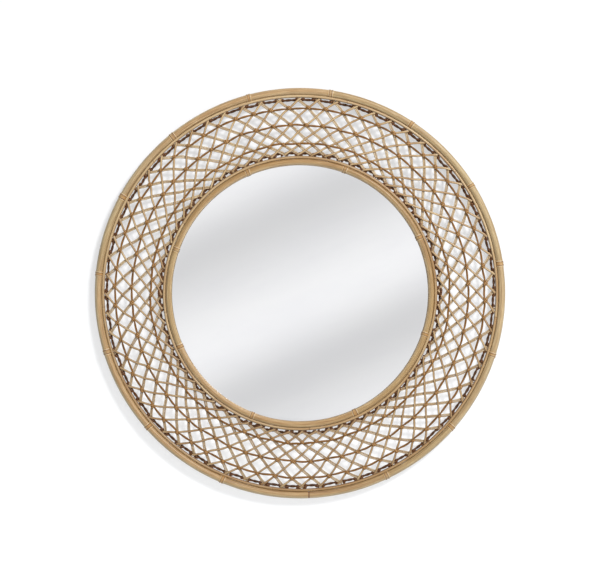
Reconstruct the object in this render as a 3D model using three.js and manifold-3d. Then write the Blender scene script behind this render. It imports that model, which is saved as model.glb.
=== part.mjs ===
// A round wall mirror in a woven rattan frame, in millimetres.
// Its flat back lies in the plane y = 0 against the wall, it faces -Y, and +Z is up.
// The origin is the centre of the flat back. Angles run clockwise from the top, seen from the front,
// and a depth is the distance that something stands in front of the wall.

import * as THREE from 'three';
import { mergeVertices } from 'three/addons/utils/BufferGeometryUtils.js';
import Module from 'manifold-3d';

// Driving sizes of the frame

const overallRadius = 500;
const sightRadius = 312.7;
const outerPoleDiameter = 17;
const innerPoleDiameter = 14.6;
const outerBeadDiameter = 6.8;
const innerBeadDiameter = 6.8;
const poleNodeRise = 1.6;
const outerPoleNodeHalfLength = 5.5;
const innerPoleNodeHalfLength = 4.5;

// Where the growth rings of the two poles stand, in degrees
const outerPoleNodes = [
  8.75, 33.4, 57.9, 81.6, 107.75, 131.5, 154.65, 177.5, 202.65, 228.65, 253.1, 275.5, 298.5, 320.85,
  345.25,
];
const innerPoleNodes = [20, 65, 108.25, 155.25, 201.4, 246.1, 289.5, 336.65];

// Driving sizes of the weave

const caneThickness = 3;
const inwardCaneWidth = 5.8;
const outwardCaneWidth = 4.1;
const ringCaneDiameter = 3;
const loopCount = 8;
const veesPerLoop = 8;
const caneBowHeight = 13.4;
const crossLayerShare = 0.09;
const weaveTurn = 2.25;

// Where the rings of thin cane lie, as shares of the way from the outer bead to the inner one.
// The canes cross at every eighth of that way. The first and the last ring run beside the beads.
const ringCaneShares = [0.0085, 0.125, 0.375, 0.73, 0.9965];

// Driving sizes of the glass, the board behind it and the hanger

const glassThickness = 4;
const glassMargin = 3.9;
const boardSetBack = 1.3;
const boardBehindGlass = 8;
const boardRim = 4;
const edgeEase = 1;
const hangerBelowEdge = 94;
const hangerLength = 56;
const hangerWidth = 20;
const hangerThickness = 1.5;
const hangerSunk = 0.3;
const keyholeDiameter = 10;
const keyholeSlotWidth = 5;
const keyholeSlotLength = 9;
const screwHeadRoom = 3.5;
const screwFromEnd = 8;
const screwHeadDiameter = 6.4;
const screwShankDiameter = 3.4;
const screwLength = 6;

const contactGap = 0.3;
const layerGap = 0.3;

// How finely round things are divided

const outerPoleSpans = 4;
const innerPoleSpans = 5;
const poleSides = 8;
const beadStations = 48;
const beadSides = 6;
const ringCaneStations = 48;
const ringCaneSides = 3;
const caneSpans = 3;
const discSegments = 48;
const holeSegments = 12;

// Depths and radii that follow from the sizes above

const glassFront = boardBehindGlass + contactGap + glassThickness;
const boardFront = boardBehindGlass + boardRim;
const frameDepth = Math.max(boardFront, glassFront) + contactGap + innerPoleDiameter / 2;
const inwardDepth = frameDepth - (layerGap + caneThickness) / 2;
const outwardDepth = frameDepth + (layerGap + caneThickness) / 2;
const ringCaneReach = (caneThickness + ringCaneDiameter) / 2 + contactGap;

const boardRadius = sightRadius + innerPoleDiameter - boardSetBack;
const hangerHeight = boardRadius - hangerBelowEdge;
const outerPoleRing = overallRadius - outerPoleDiameter / 2;
const innerPoleRing = sightRadius + innerPoleDiameter / 2;

/** The growth ring that follows a given one, its angle counted on past a full turn for the last. */
const nodeAfter = (nodes, i) => (i + 1 < nodes.length ? nodes[i + 1] : nodes[0] + 360);

/** How near the middle of a straight side comes, as a share of the corners' radius. */
const flatShare = (stepDegrees) => Math.cos(THREE.MathUtils.degToRad(stepDegrees / 2));
const longestStep = (nodes, spans) => Math.max(...nodes.map((node, i) => nodeAfter(nodes, i) - node)) / spans;
const poleFlat = (nodes, spans) => flatShare(longestStep(nodes, spans));

const innerPoleFlat = poleFlat(innerPoleNodes, innerPoleSpans);
const beadFlat = flatShare(360 / beadStations);
const outerBeadRing = outerPoleRing - (outerPoleDiameter + outerBeadDiameter) / 2 - contactGap;
const innerBeadRing =
  (innerPoleRing / innerPoleFlat + (innerPoleDiameter + innerBeadDiameter) / 2 + contactGap) / beadFlat;

const crossings = loopCount * veesPerLoop;
const caneSweep = (360 / crossings) * (loopCount / 2);

/** Radius of a diagonal cane between its two ends, share 0 at the outer one and 1 at the inner one. */
function caneRadius(share, outerEnd, innerEnd) {
  return outerEnd + (innerEnd - outerEnd) * share - caneBowHeight * 4 * share * (1 - share);
}

/** How far the mitred corner of a cane reaches past its middle line, where it turns at a bead. */
function cornerReach(endRadius, nearRadius, sweepDegrees, halfWidth) {
  const sweep = THREE.MathUtils.degToRad(sweepDegrees);
  const along = nearRadius * Math.sin(sweep);
  const rise = endRadius - nearRadius * Math.cos(sweep);
  return (halfWidth * Math.hypot(along, rise)) / along;
}

const outerBeadEdge = (outerBeadRing - outerBeadDiameter / 2) * beadFlat - contactGap;
const innerBeadEdge = innerBeadRing + innerBeadDiameter / 2 + contactGap;
const outerEnd =
  outerBeadEdge -
  cornerReach(
    outerBeadEdge,
    caneRadius(crossLayerShare, outerBeadEdge, innerBeadEdge),
    caneSweep * crossLayerShare,
    outwardCaneWidth / 2,
  );
const innerEnd =
  innerBeadEdge +
  cornerReach(
    innerBeadEdge,
    caneRadius(1 - crossLayerShare, outerBeadEdge, innerBeadEdge),
    caneSweep * crossLayerShare,
    inwardCaneWidth / 2,
  );

// Finishes

const finish = (color, roughness, metalness = 0) =>
  new THREE.MeshStandardMaterial({ color, roughness, metalness });
const poleCane = finish(0xc3aa87, 0.45);
const beadCane = finish(0xb99a74, 0.5);
const splitCane = finish(0xc8a97f, 0.55);
const darkCane = finish(0x6e4628, 0.6);
const silveredGlass = finish(0xd9dcdc, 0.03, 1);
const plywood = finish(0xb89468, 0.75);
const zincSteel = finish(0xb4b6b8, 0.35, 1);

const mirror = new THREE.Group();

/** Adds one named piece to the mirror. */
function addPiece(name, geometry, material) {
  const mesh = new THREE.Mesh(geometry, material);
  mesh.name = name;
  mirror.add(mesh);
}

/** A point at a radius, an angle clockwise from the top, and a depth in front of the wall. */
function aroundMirror(radius, degrees, depth) {
  const angle = THREE.MathUtils.degToRad(degrees);
  return new THREE.Vector3(radius * Math.sin(angle), -depth, radius * Math.cos(angle));
}

/** The outward direction at an angle clockwise from the top. */
const outwardAt = (degrees) => aroundMirror(1, degrees, 0);

/**
 * A closed ring of any course: a section carried through stations that lead back to the first one.
 * A station has its centre, the direction in the wall's plane that the section's first axis takes,
 * and the section's corners as [along that direction, towards the viewer].
 */
function closedRing(stations) {
  const sides = stations[0].section.length;
  const positions = stations.flatMap(({ centre, across, section }) =>
    section.flatMap(([u, v]) => [centre.x + across.x * u, centre.y - v, centre.z + across.z * u]),
  );
  const faces = stations.flatMap((_, i) => {
    const here = i * sides;
    const next = ((i + 1) % stations.length) * sides;
    return Array.from({ length: sides }, (_side, k) => {
      const turn = (k + 1) % sides;
      return [here + k, here + turn, next + turn, here + k, next + turn, next + k];
    }).flat();
  });
  const ring = new THREE.BufferGeometry();
  ring.setAttribute('position', new THREE.Float32BufferAttribute(positions, 3));
  ring.setIndex(faces);
  return ring;
}

/** A regular section, with one corner along its first axis. */
function roundSection(radius, sides, rise = () => 0) {
  return Array.from({ length: sides }, (_, k) => {
    const angle = (2 * Math.PI * k) / sides;
    const reach = radius + rise(angle);
    return [reach * Math.cos(angle), reach * Math.sin(angle)];
  });
}

/** A plain round ring of thin cane. */
function plainRing(ringRadius, diameter, depth, stationCount, sides) {
  const section = roundSection(diameter / 2, sides);
  return closedRing(
    Array.from({ length: stationCount }, (_, i) => {
      const degrees = (360 * i) / stationCount;
      return { centre: aroundMirror(ringRadius, degrees, depth), across: outwardAt(degrees), section };
    }),
  );
}

/**
 * A rattan pole bent into a ring, with a swelling at each growth ring.
 * The swelling shows on the front and on the free side, which is 1 for outward and -1 for inward:
 * the other sides lie flush against the bead and the board.
 */
function rattanPole(ringRadius, diameter, nodes, nodeHalfLength, spans, freeSide) {
  const halfAngle = THREE.MathUtils.radToDeg(nodeHalfLength / ringRadius);
  const plain = roundSection(diameter / 2, poleSides);
  const middle = freeSide > 0 ? Math.PI / 4 : (3 * Math.PI) / 4;
  const swollen = roundSection(
    diameter / 2,
    poleSides,
    (angle) => poleNodeRise * Math.max(0, Math.cos(angle - middle)),
  );
  const cornerRadius = ringRadius / poleFlat(nodes, spans);
  const stations = [];
  const place = (degrees, section) => {
    const centre = aroundMirror(cornerRadius, degrees, frameDepth);
    stations.push({ centre, across: outwardAt(degrees), section });
  };
  nodes.forEach((node, i) => {
    const from = node + halfAngle;
    const to = nodeAfter(nodes, i) - halfAngle;
    place(node, swollen);
    for (let k = 0; k <= spans; k += 1) {
      place(from + ((to - from) * k) / spans, plain);
    }
  });
  return closedRing(stations);
}

/**
 * One length of cane that zigzags once round the frame between the two beads.
 * It runs inwards behind the other canes and outwards in front of them, and changes from one layer
 * to the other close to each bead. turnDegrees is where its first outer corner stands.
 */
function zigzagCane(turnDegrees) {
  const veeDegrees = 360 / veesPerLoop;
  const radiusAt = (share) => caneRadius(share, outerEnd, innerEnd);
  const course = [];
  for (let vee = 0; vee < veesPerLoop; vee += 1) {
    const start = turnDegrees + veeDegrees * vee;
    course.push({
      point: aroundMirror(outerEnd, start, outwardDepth),
      width: outwardCaneWidth,
    });
    for (let k = 0; k <= caneSpans; k += 1) {
      const share = crossLayerShare + ((1 - crossLayerShare) * k) / caneSpans;
      course.push({
        point: aroundMirror(radiusAt(share), start + caneSweep * share, inwardDepth),
        width: inwardCaneWidth,
      });
    }
    for (let k = 0; k < caneSpans; k += 1) {
      const share = (1 - crossLayerShare) * (1 - k / caneSpans);
      course.push({
        point: aroundMirror(radiusAt(share), start + veeDegrees - caneSweep * share, outwardDepth),
        width: outwardCaneWidth,
      });
    }
  }
  const inPlane = (from, to) => to.clone().sub(from).setY(0).normalize();
  const stations = course.map(({ point, width }, i) => {
    const before = inPlane(course[(i + course.length - 1) % course.length].point, point);
    const after = inPlane(point, course[(i + 1) % course.length].point);
    const along = before.clone().add(after).normalize();
    const half = width / 2 / along.dot(after);
    const thick = caneThickness / 2;
    return {
      centre: point,
      across: new THREE.Vector3(-along.z, 0, along.x),
      section: [
        [half, -thick],
        [half, thick],
        [-half, thick],
        [-half, -thick],
      ],
    };
  });
  return closedRing(stations);
}

/** A shape turned about the mirror's axis, from corners given as [radius, depth] from back to front. */
function turned(corners, segments = discSegments) {
  const profile = corners.map(([radius, depth]) => new THREE.Vector2(radius, -depth)).reverse();
  return new THREE.LatheGeometry(profile, segments);
}

// Boolean cuts

const manifold = await Module();
manifold.setup();

/** A closed solid from any geometry, placed by the given matrix. */
function solidOf(geometry, matrix = new THREE.Matrix4()) {
  const bare = geometry.clone().applyMatrix4(matrix);
  bare.deleteAttribute('normal');
  bare.deleteAttribute('uv');
  const merged = mergeVertices(bare);
  return new manifold.Manifold(
    new manifold.Mesh({
      numProp: 3,
      vertProperties: merged.attributes.position.array,
      triVerts: new Uint32Array(merged.index.array),
    }),
  );
}

/** The geometry left of one solid when others are cut away from it. */
function cutFrom(whole, cutters) {
  const remainder = cutters.reduce((left, cutter) => left.subtract(cutter), whole);
  const { vertProperties, triVerts } = remainder.getMesh();
  const result = new THREE.BufferGeometry();
  result.setAttribute('position', new THREE.BufferAttribute(vertProperties, 3));
  result.setIndex(new THREE.BufferAttribute(triVerts, 1));
  return result;
}

// The frame: two poles and two beads

addPiece(
  'outer_pole',
  rattanPole(outerPoleRing, outerPoleDiameter, outerPoleNodes, outerPoleNodeHalfLength, outerPoleSpans, 1),
  poleCane,
);
addPiece(
  'inner_pole',
  rattanPole(innerPoleRing, innerPoleDiameter, innerPoleNodes, innerPoleNodeHalfLength, innerPoleSpans, -1),
  poleCane,
);
addPiece(
  'outer_bead',
  plainRing(outerBeadRing, outerBeadDiameter, frameDepth, beadStations, beadSides),
  beadCane,
);
addPiece(
  'inner_bead',
  plainRing(innerBeadRing, innerBeadDiameter, frameDepth, beadStations, beadSides),
  beadCane,
);

// The weave: zigzag canes, then the thin rings that bind their crossings.
// The rings beside the beads lie behind the canes and the others in front of them.

for (let loop = 0; loop < loopCount; loop += 1) {
  const turn = weaveTurn + (360 / crossings) * (loop + 0.5);
  addPiece(`weave_cane_${loop + 1}`, zigzagCane(turn), splitCane);
}
ringCaneShares.forEach((share, i) => {
  const ringRadius = caneRadius(share, outerEnd, innerEnd);
  const besideBead = i === 0 || i === ringCaneShares.length - 1;
  const depth = besideBead ? inwardDepth - ringCaneReach : outwardDepth + ringCaneReach;
  addPiece(
    `ring_cane_${i + 1}`,
    plainRing(ringRadius, ringCaneDiameter, depth, ringCaneStations, ringCaneSides),
    darkCane,
  );
});

// The glass lies in a shallow pocket of the board, its edge under the inner pole

const glassRadius = sightRadius + glassMargin;
addPiece(
  'mirror_glass',
  turned([
    [0, glassFront - glassThickness],
    [glassRadius, glassFront - glassThickness],
    [glassRadius, glassFront],
    [0, glassFront],
  ]),
  silveredGlass,
);

const pocketRadius = glassRadius + contactGap;
const boardBlank = turned([
  [0, 0],
  [boardRadius - edgeEase, 0],
  [boardRadius, edgeEase],
  [boardRadius, boardFront],
  [pocketRadius, boardFront],
  [pocketRadius, boardBehindGlass],
  [0, boardBehindGlass],
]);

// The hanger: a steel plate with a keyhole, sunk in the back of the board and held by two screws

/** The outline of a bar with round ends, lying along X. */
function roundEndedBar(length, width) {
  const straight = (length - width) / 2;
  const outline = new THREE.Shape();
  outline.absarc(straight, 0, width / 2, -Math.PI / 2, Math.PI / 2, false);
  outline.absarc(-straight, 0, width / 2, Math.PI / 2, (3 * Math.PI) / 2, false);
  outline.closePath();
  return outline;
}

/** A flat blank of an outline, from one depth to another, drawn as seen from the front. */
function blank(outline, fromDepth, toDepth) {
  const geometry = new THREE.ExtrudeGeometry(outline, {
    depth: toDepth - fromDepth,
    bevelEnabled: false,
    curveSegments: holeSegments / 2,
  });
  geometry.rotateX(Math.PI / 2);
  return geometry.translate(0, -fromDepth, 0);
}

const plateBack = hangerSunk;
const plateFront = plateBack + hangerThickness;
const keyholeDrop = keyholeSlotLength / 2;
const keyhole = new THREE.Path();
const slotHalfAngle = Math.asin(keyholeSlotWidth / keyholeDiameter);
keyhole.absarc(
  0,
  -keyholeDrop,
  keyholeDiameter / 2,
  Math.PI / 2 - slotHalfAngle,
  Math.PI / 2 + slotHalfAngle,
  true,
);
keyhole.absarc(0, keyholeSlotLength - keyholeDrop, keyholeSlotWidth / 2, Math.PI, 0, true);
keyhole.closePath();
const plateOutline = roundEndedBar(hangerLength, hangerWidth);
plateOutline.holes.push(keyhole);

/**
 * A countersunk screw, or with room around it the hole that it sits in.
 * Its head is flush with the plate's back, and topRoom carries the hole's cutter past that face.
 */
function screwShape(room = 0, topRoom = 0) {
  const headRadius = screwHeadDiameter / 2 + room;
  const shankRadius = screwShankDiameter / 2 + room;
  const headDepth = headRadius - shankRadius;
  return turned(
    [
      [0, plateBack - topRoom],
      [headRadius + topRoom, plateBack - topRoom],
      [shankRadius, plateBack + headDepth],
      [shankRadius, plateBack + screwLength + room],
      [0, plateBack + screwLength + room],
    ],
    holeSegments,
  );
}

const atHanger = new THREE.Matrix4().makeTranslation(0, 0, hangerHeight);
const screwOffset = hangerLength / 2 - screwFromEnd;
const atScrew = (side) => new THREE.Matrix4().makeTranslation(side * screwOffset, 0, hangerHeight);
const screwHole = screwShape(contactGap, hangerSunk + contactGap);
const screwRoom = [-1, 1].map((side) => solidOf(screwHole, atScrew(side)));

const recess = blank(
  roundEndedBar(hangerLength + 2 * contactGap, hangerWidth + 2 * contactGap),
  -contactGap,
  plateFront + contactGap,
);
const headRoomOutline = roundEndedBar(
  keyholeDiameter + keyholeSlotLength + 2 * contactGap,
  keyholeDiameter + 2 * contactGap,
);
const headRoom = blank(headRoomOutline, -contactGap, plateFront + contactGap + screwHeadRoom);
headRoom.rotateY(Math.PI / 2);

addPiece(
  'backing_board',
  cutFrom(solidOf(boardBlank), [solidOf(recess, atHanger), solidOf(headRoom, atHanger), ...screwRoom]),
  plywood,
);
addPiece(
  'hanger_plate',
  cutFrom(solidOf(blank(plateOutline, plateBack, plateFront), atHanger), screwRoom),
  zincSteel,
);
[
  ['left', -1],
  ['right', 1],
].forEach(([label, side]) => {
  addPiece(`hanger_screw_${label}`, screwShape().applyMatrix4(atScrew(side)), zincSteel);
});

export default mirror;
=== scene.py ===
"""Looks of a round wall mirror: rattan poles, a woven cane lattice, silvered glass, a plain board."""

import logging
import math
from dataclasses import dataclass
from enum import Enum
from typing import Any, Callable, Sequence

import bmesh
import bpy
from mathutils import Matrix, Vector


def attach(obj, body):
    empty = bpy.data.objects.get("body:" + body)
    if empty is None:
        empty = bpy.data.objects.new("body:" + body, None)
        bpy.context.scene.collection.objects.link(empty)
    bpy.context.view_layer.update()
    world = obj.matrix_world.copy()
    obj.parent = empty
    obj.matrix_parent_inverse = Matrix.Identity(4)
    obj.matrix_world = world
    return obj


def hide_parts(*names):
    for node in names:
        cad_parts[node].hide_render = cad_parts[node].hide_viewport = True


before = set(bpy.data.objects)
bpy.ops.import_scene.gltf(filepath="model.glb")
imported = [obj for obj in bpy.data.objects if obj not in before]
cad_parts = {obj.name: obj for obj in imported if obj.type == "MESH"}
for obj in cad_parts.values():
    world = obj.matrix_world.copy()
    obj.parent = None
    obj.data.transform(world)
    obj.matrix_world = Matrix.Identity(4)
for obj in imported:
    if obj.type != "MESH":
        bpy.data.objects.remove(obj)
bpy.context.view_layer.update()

LOG = logging.getLogger("mirror")
FULL_TURN = 2 * math.pi
Colour = tuple[float, float, float, float]
Outline = list[tuple[float, float]]

# The way from the mirror's centre to the key light, seen from the front, as shares of one
LAMP_ASIDE = 0.643
LAMP_UP = 0.766


# Writing node trees


class Wire:
    """A number or vector that runs through a node tree, written with ordinary signs."""

    def __init__(self, sheet: "NodeSheet", socket: bpy.types.NodeSocket) -> None:
        """Wraps one output socket of a sheet's tree."""
        self.sheet = sheet
        self.socket = socket

    def __add__(self, other: "Wire | float") -> "Wire":
        """Sum."""
        return self.sheet.math("ADD", self, other)

    def __radd__(self, other: float) -> "Wire":
        """Sum with a plain number first."""
        return self.sheet.math("ADD", other, self)

    def __sub__(self, other: "Wire | float") -> "Wire":
        """Difference."""
        return self.sheet.math("SUBTRACT", self, other)

    def __rsub__(self, other: float) -> "Wire":
        """Difference from a plain number."""
        return self.sheet.math("SUBTRACT", other, self)

    def __mul__(self, other: "Wire | float") -> "Wire":
        """Product."""
        return self.sheet.math("MULTIPLY", self, other)

    def __rmul__(self, other: float) -> "Wire":
        """Product with a plain number first."""
        return self.sheet.math("MULTIPLY", other, self)

    def __truediv__(self, other: "Wire | float") -> "Wire":
        """Quotient."""
        return self.sheet.math("DIVIDE", self, other)

    def __rtruediv__(self, other: float) -> "Wire":
        """A plain number divided by this one."""
        return self.sheet.math("DIVIDE", other, self)

    def __pow__(self, other: "Wire | float") -> "Wire":
        """Power."""
        return self.sheet.math("POWER", self, other)

    def __rpow__(self, other: float) -> "Wire":
        """A plain number raised to this one."""
        return self.sheet.math("POWER", other, self)

    def parts(self) -> tuple["Wire", "Wire", "Wire"]:
        """The three numbers of a vector."""
        node = self.sheet.node("ShaderNodeSeparateXYZ", sockets={"Vector": self})
        return tuple(Wire(self.sheet, node.outputs[i]) for i in range(3))


class NodeSheet:
    """A node tree that is written down node by node."""

    def __init__(self, tree: bpy.types.NodeTree) -> None:
        """Starts on a tree that is empty or partly made."""
        self.tree = tree

    def node(
        self,
        kind: str,
        settings: dict[str, Any] | None = None,
        sockets: dict[str | int, Any] | None = None,
    ) -> bpy.types.Node:
        """Adds a node: its settings first, then what its sockets hold.

        Args:
            kind: the node's type.
            settings: its properties; "points" fills a float curve.
            sockets: values or wires by the socket's name or number.

        Returns:
            The new node.
        """
        made = self.tree.nodes.new(kind)
        for name, value in (settings or {}).items():
            if name == "points":
                self._fill_curve(made, value)
            else:
                setattr(made, name, value)
        for key, value in (sockets or {}).items():
            self._feed(made.inputs[key], value)
        return made

    def wire(
        self,
        kind: str,
        settings: dict[str, Any] | None = None,
        sockets: dict[str | int, Any] | None = None,
        out: str | int = 0,
    ) -> Wire:
        """Adds a node and returns one of its outputs."""
        return Wire(self, self.node(kind, settings, sockets).outputs[out])

    def math(self, operation: str, *terms: Wire | float) -> Wire:
        """A Math node on up to three numbers."""
        return self.wire("ShaderNodeMath", {"operation": operation}, dict(enumerate(terms)))

    def vector_math(self, operation: str, *terms: Any, out: int = 0) -> Wire:
        """A Vector Math node on up to three vectors."""
        return self.wire("ShaderNodeVectorMath", {"operation": operation}, dict(enumerate(terms)), out)

    def scaled(self, vector: Wire | Sequence[float], amount: Wire | float) -> Wire:
        """A vector made longer or shorter by a number."""
        return self.wire("ShaderNodeVectorMath", {"operation": "SCALE"}, {0: vector, "Scale": amount})

    def vector(self, x: Wire | float, y: Wire | float, z: Wire | float) -> Wire:
        """A vector from three numbers."""
        return self.wire("ShaderNodeCombineXYZ", sockets={0: x, 1: y, 2: z})

    def noise(self, place: Wire, scale: float, detail: float = 2.0, roughness: float = 0.5) -> Wire:
        """Smooth noise from 0 to 1 at a place."""
        sockets = {"Vector": place, "Scale": scale, "Detail": detail, "Roughness": roughness}
        return self.wire("ShaderNodeTexNoise", {"noise_dimensions": "3D"}, sockets)

    def drift(self, place: Wire, scale: float) -> Wire:
        """Three smooth noises at once, each about -0.5 to 0.5.

        Args:
            place: where they are read.
            scale: how fine they are.

        Returns:
            The three as one vector.
        """
        sockets = {"Vector": place, "Scale": scale, "Detail": 1.0}
        colour = self.wire("ShaderNodeTexNoise", {"noise_dimensions": "3D"}, sockets, 1)
        return self.vector_math("SUBTRACT", colour, (0.5, 0.5, 0.5))

    def chance(self, value: Wire | float) -> Wire:
        """A number from 0 to 1 that is fixed for each whole value."""
        return self.wire("ShaderNodeTexWhiteNoise", {"noise_dimensions": "1D"}, {"W": value})

    def step(self, value: Wire, low: float, high: float, start: float = 0.0, end: float = 1.0) -> Wire:
        """A smooth step from start to end as the value goes from low to high.

        Args:
            value: what is read.
            low: where the step begins, above high for a step that falls.
            high: where it ends.
            start: the result on the low side.
            end: the result on the high side.

        Returns:
            The result.
        """
        settings = {"interpolation_type": "SMOOTHSTEP", "clamp": True}
        sockets = {"Value": value, "From Min": low, "From Max": high, "To Min": start, "To Max": end}
        return self.wire("ShaderNodeMapRange", settings, sockets)

    def blend(self, share: Wire | float, first: Wire | Colour, second: Wire | Colour) -> Wire:
        """One colour turned into another by a share."""
        settings = {"data_type": "RGBA", "blend_type": "MIX", "clamp_factor": True}
        return self.wire("ShaderNodeMix", settings, {0: share, 6: first, 7: second}, 2)

    def _feed(self, socket: bpy.types.NodeSocket, value: Any) -> None:
        """Links a wire or a node's first output, or sets a plain value.

        Args:
            socket: the input.
            value: what goes into it.
        """
        if isinstance(value, Wire):
            self.tree.links.new(value.socket, socket)
        elif isinstance(value, bpy.types.Node):
            self.tree.links.new(value.outputs[0], socket)
        else:
            socket.default_value = value

    @staticmethod
    def _fill_curve(made: bpy.types.Node, points: Sequence[tuple[float, float]]) -> None:
        """Sets a float curve's points.

        Args:
            made: the node that holds the curve.
            points: where the curve passes, from left to right.
        """
        curve = made.mapping.curves[0]
        while len(curve.points) < len(points):
            curve.points.new(0.5, 0.5)
        for point, place in zip(curve.points, points):
            point.location = place
        made.mapping.update()


class InputKind(Enum):
    """What a growth tree's named input holds."""

    NUMBER = "NodeSocketFloat"
    COUNT = "NodeSocketInt"
    MATERIAL = "NodeSocketMaterial"


class Facing(Enum):
    """Which side of a ring is turned from the weave: away from the mirror's centre or towards it."""

    OUTWARD = 1.0
    INWARD = -1.0


class Way(Enum):
    """Which way round the mirror, seen from the front."""

    CLOCKWISE = 1.0
    BACK = -1.0


class GrowthTree(NodeSheet):
    """A Geometry Nodes tree with named inputs, grown into a plain mesh."""

    def __init__(self, name: str) -> None:
        """Starts an empty tree with one geometry in and one out.

        Args:
            name: the tree's name.
        """
        super().__init__(bpy.data.node_groups.new(name, "GeometryNodeTree"))
        for side in ("INPUT", "OUTPUT"):
            self.tree.interface.new_socket("Geometry", in_out=side, socket_type="NodeSocketGeometry")
        self.entry = self.tree.nodes.new("NodeGroupInput")
        self.values: dict[str, Any] = {}
        self.seed = Wire(self, self.entry.outputs["Geometry"])

    def ask(self, name: str, value: Any, kind: InputKind = InputKind.NUMBER) -> Wire:
        """Adds a named input and its value.

        Args:
            name: the input's name.
            value: what the modifier sets it to.
            kind: what it holds.

        Returns:
            The input's wire.
        """
        item = self.tree.interface.new_socket(name, in_out="INPUT", socket_type=kind.value)
        self.values[item.identifier] = value
        return Wire(self, self.entry.outputs[name])

    def keep(self, shape: Wire, name: str, value: Wire, kind: str = "FLOAT", domain: str = "POINT") -> Wire:
        """Stores a value on a shape under a name that a finish reads."""
        sockets = {"Geometry": shape, "Name": name, "Value": value}
        return self.wire("GeometryNodeStoreNamedAttribute", {"data_type": kind, "domain": domain}, sockets)

    def read(self, name: str, kind: str = "FLOAT") -> Wire:
        """A value that the shape carries under a name."""
        return self.wire("GeometryNodeInputNamedAttribute", {"data_type": kind}, {"Name": name})

    def move(self, shape: Wire, position: Wire | None = None, offset: Wire | None = None) -> Wire:
        """Sets each point's position, or moves it by an offset.

        Args:
            shape: what is moved.
            position: where each point goes.
            offset: how far it goes from there.

        Returns:
            The moved shape.
        """
        sockets = {"Geometry": shape}
        if position is not None:
            sockets["Position"] = position
        if offset is not None:
            sockets["Offset"] = offset
        return self.wire("GeometryNodeSetPosition", sockets=sockets)

    def position(self) -> Wire:
        """Each point's position."""
        return self.wire("GeometryNodeInputPosition")

    def index(self) -> Wire:
        """Each point's number."""
        return self.wire("GeometryNodeInputIndex")

    def copies(self, shape: Wire, amount: Wire | int) -> tuple[Wire, Wire]:
        """Repeats each spline; gives the copies and each one's number."""
        node = self.node(
            "GeometryNodeDuplicateElements", {"domain": "SPLINE"}, {"Geometry": shape, "Amount": amount}
        )
        return Wire(self, node.outputs["Geometry"]), Wire(self, node.outputs["Duplicate Index"])

    def circle(self, sides: int) -> Wire:
        """A circle of radius one as a closed curve."""
        sockets = {"Resolution": sides, "Radius": 1.0}
        return self.wire("GeometryNodeCurvePrimitiveCircle", {"mode": "RADIUS"}, sockets)

    def facing_out(self, curve: Wire) -> Wire:
        """Turns the curve's frame so that its first axis points out of the mirror's face."""
        sockets = {"Curve": curve, "Normal": (0.0, -1.0, 0.0)}
        return self.wire("GeometryNodeSetCurveNormal", {"mode": "FREE"}, sockets)

    def skin(self, curve: Wire, profile: Wire, scale: Wire | float) -> Wire:
        """Runs a profile along a curve."""
        sockets = {"Curve": curve, "Profile Curve": profile, "Scale": scale, "Fill Caps": True}
        return self.wire("GeometryNodeCurveToMesh", sockets=sockets)

    def place_by_hand(self, angle: Wire, radius: Wire | float, depth: Wire | float) -> Wire:
        """A place in the lattice, moved a little as hand work moves it.

        Args:
            angle: clockwise from the top, seen from the front, in radians.
            radius: from the mirror's centre.
            depth: out from the wall.

        Returns:
            The position.
        """
        sine, cosine = self.math("SINE", angle), self.math("COSINE", angle)
        even = self.vector(radius * sine, 0.0, radius * cosine)
        slow, _, _ = self.drift(even, HAND.slow_scale).parts()
        around, outward, proud = self.drift(even, HAND.quick_scale).parts()
        turned = angle + slow * HAND.slow_turn + around * HAND.quick_turn
        spread = radius + outward * HAND.radial
        out = depth + proud * HAND.depth
        return self.vector(
            spread * self.math("SINE", turned), out * -1.0, spread * self.math("COSINE", turned)
        )

    def grow(
        self, name: str, shape: Wire, finish: bpy.types.Material, start: bpy.types.Mesh | None = None
    ) -> bpy.types.Object:
        """Ends the tree, runs it once and keeps the result as a plain mesh.

        Args:
            name: the piece's name.
            shape: the geometry to keep.
            finish: the material that the whole piece takes.
            start: a mesh that the tree works on.

        Returns:
            The finished piece, at the origin, with no modifier.
        """
        material = self.ask("Finish", finish, InputKind.MATERIAL)
        smooth = self.wire("GeometryNodeSetShadeSmooth", sockets={"Geometry": shape})
        real = self.wire("GeometryNodeRealizeInstances", sockets={"Geometry": smooth})
        dressed = self.wire("GeometryNodeSetMaterial", sockets={"Geometry": real, "Material": material})
        self.node("NodeGroupOutput", sockets={"Geometry": dressed})
        piece = bpy.data.objects.new(name, start or bpy.data.meshes.new(name))
        bpy.context.scene.collection.objects.link(piece)
        modifier = piece.modifiers.new("growth", "NODES")
        modifier.node_group = self.tree
        for identifier, value in self.values.items():
            modifier[identifier] = value
        depsgraph = bpy.context.evaluated_depsgraph_get()
        grown = bpy.data.meshes.new_from_object(
            piece.evaluated_get(depsgraph), preserve_all_data_layers=True, depsgraph=depsgraph
        )
        piece.modifiers.clear()
        piece.data = grown
        grown.name = name
        return piece


# Sizes shared with the frame, in metres


@dataclass(frozen=True)
class Plan:
    """Where the CAD frame puts the lattice."""

    steps: int = 64
    first_node: float = math.radians(2.25)
    half_step: float = math.radians(2.8125)
    rows: tuple[float, ...] = (0.4709, 0.4507, 0.4305, 0.4098, 0.3913, 0.3755, 0.3616, 0.3487, 0.3385)
    outer_tail: float = 0.4752
    inner_tail: float = 0.3362
    ring_radii: tuple[float, ...] = (0.4710, 0.4492, 0.4092, 0.3646, 0.3416)
    pole_depth: float = 0.0199
    back_depth: float = 0.0182
    front_depth: float = 0.0213
    edge_ring_depth: float = 0.0149

    def row_angle(self, row: int) -> float:
        """Where the first crossing of a row stands."""
        return self.first_node + (self.half_step if row % 2 == 0 else 0.0)


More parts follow.
